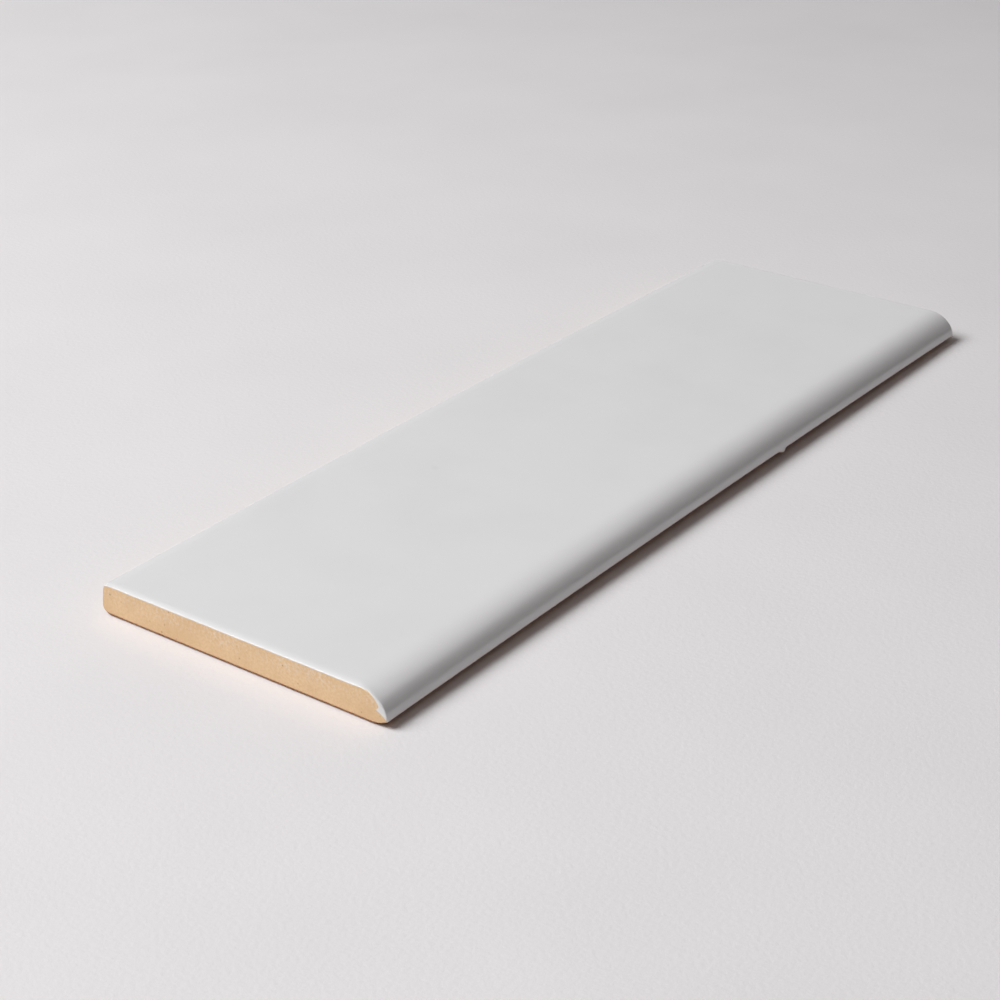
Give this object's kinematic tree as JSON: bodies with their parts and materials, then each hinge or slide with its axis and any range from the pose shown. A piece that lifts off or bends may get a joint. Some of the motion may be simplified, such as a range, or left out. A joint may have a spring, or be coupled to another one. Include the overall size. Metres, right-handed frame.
{
  "type": "bullnose tile",
  "caption": "Long flat ceramic wall tile with a rounded, glazed bullnose along its long edge, for finishing the open edge of a tiled surface.",
  "frame": {"origin": "middle of the back, which lies on the floor", "axes": "+X along the tile, -Y towards the bullnose edge, +Z out of the glazed face"},
  "size_m": [0.305, 0.0954, 0.0095],
  "materials": {
    "glaze": "satin white glaze on the face and over the bullnose",
    "bisque": "bare buff fired clay on the ends, the square edge and the back"
  },
  "bodies": {
    "root": {"bullnose_tile": "glaze"}
  },
  "joints": []
}
